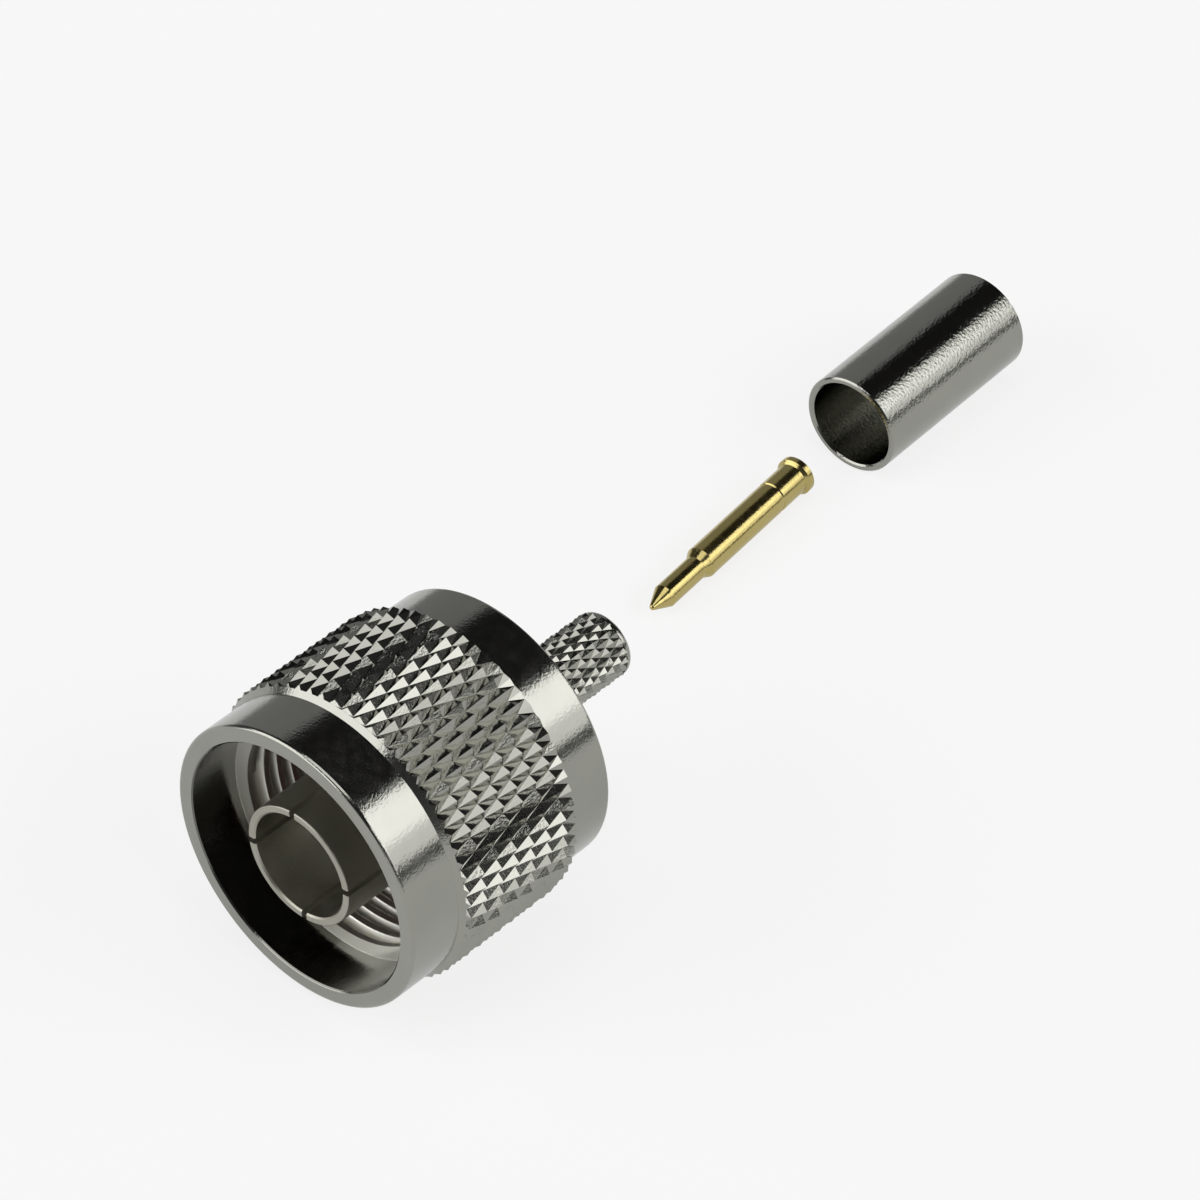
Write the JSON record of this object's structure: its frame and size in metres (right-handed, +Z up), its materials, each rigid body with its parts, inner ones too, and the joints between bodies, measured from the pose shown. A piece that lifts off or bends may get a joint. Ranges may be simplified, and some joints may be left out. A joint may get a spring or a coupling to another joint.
{
  "type": "n type connector",
  "caption": "Coaxial crimp plug with a diamond knurled coupling nut, slotted outer contact and knurled crimp stem, with its loose centre pin and crimp ferrule.",
  "frame": {"origin": "centre of the open end of the slotted outer contact, on the connector's axis", "axes": "+X along the connector's axis from its mouth to its cable end, +Z up from the table that the kit lies on"},
  "size_m": [0.0721, 0.0215, 0.0199],
  "materials": {
    "nickel": "bright nickel plating on turned brass",
    "gold": "gold plating on turned brass",
    "ptfe": "white PTFE",
    "silicone": "dark red silicone rubber"
  },
  "bodies": {
    "connector": {"connector_body": "nickel", "outer_contact": "nickel", "gasket": "silicone", "snap_ring": "nickel", "insulator": "ptfe", "centre_pin": "gold", "crimp_ferrule": "nickel"},
    "nut": {"coupling_nut": "nickel"}
  },
  "joints": [
    {"name": "nut_turn", "type": "hinge", "parent": "connector", "child": "nut", "pos_m": [0.013, 0, 0], "axis": [1, 0, 0], "continuous": true}
  ]
}
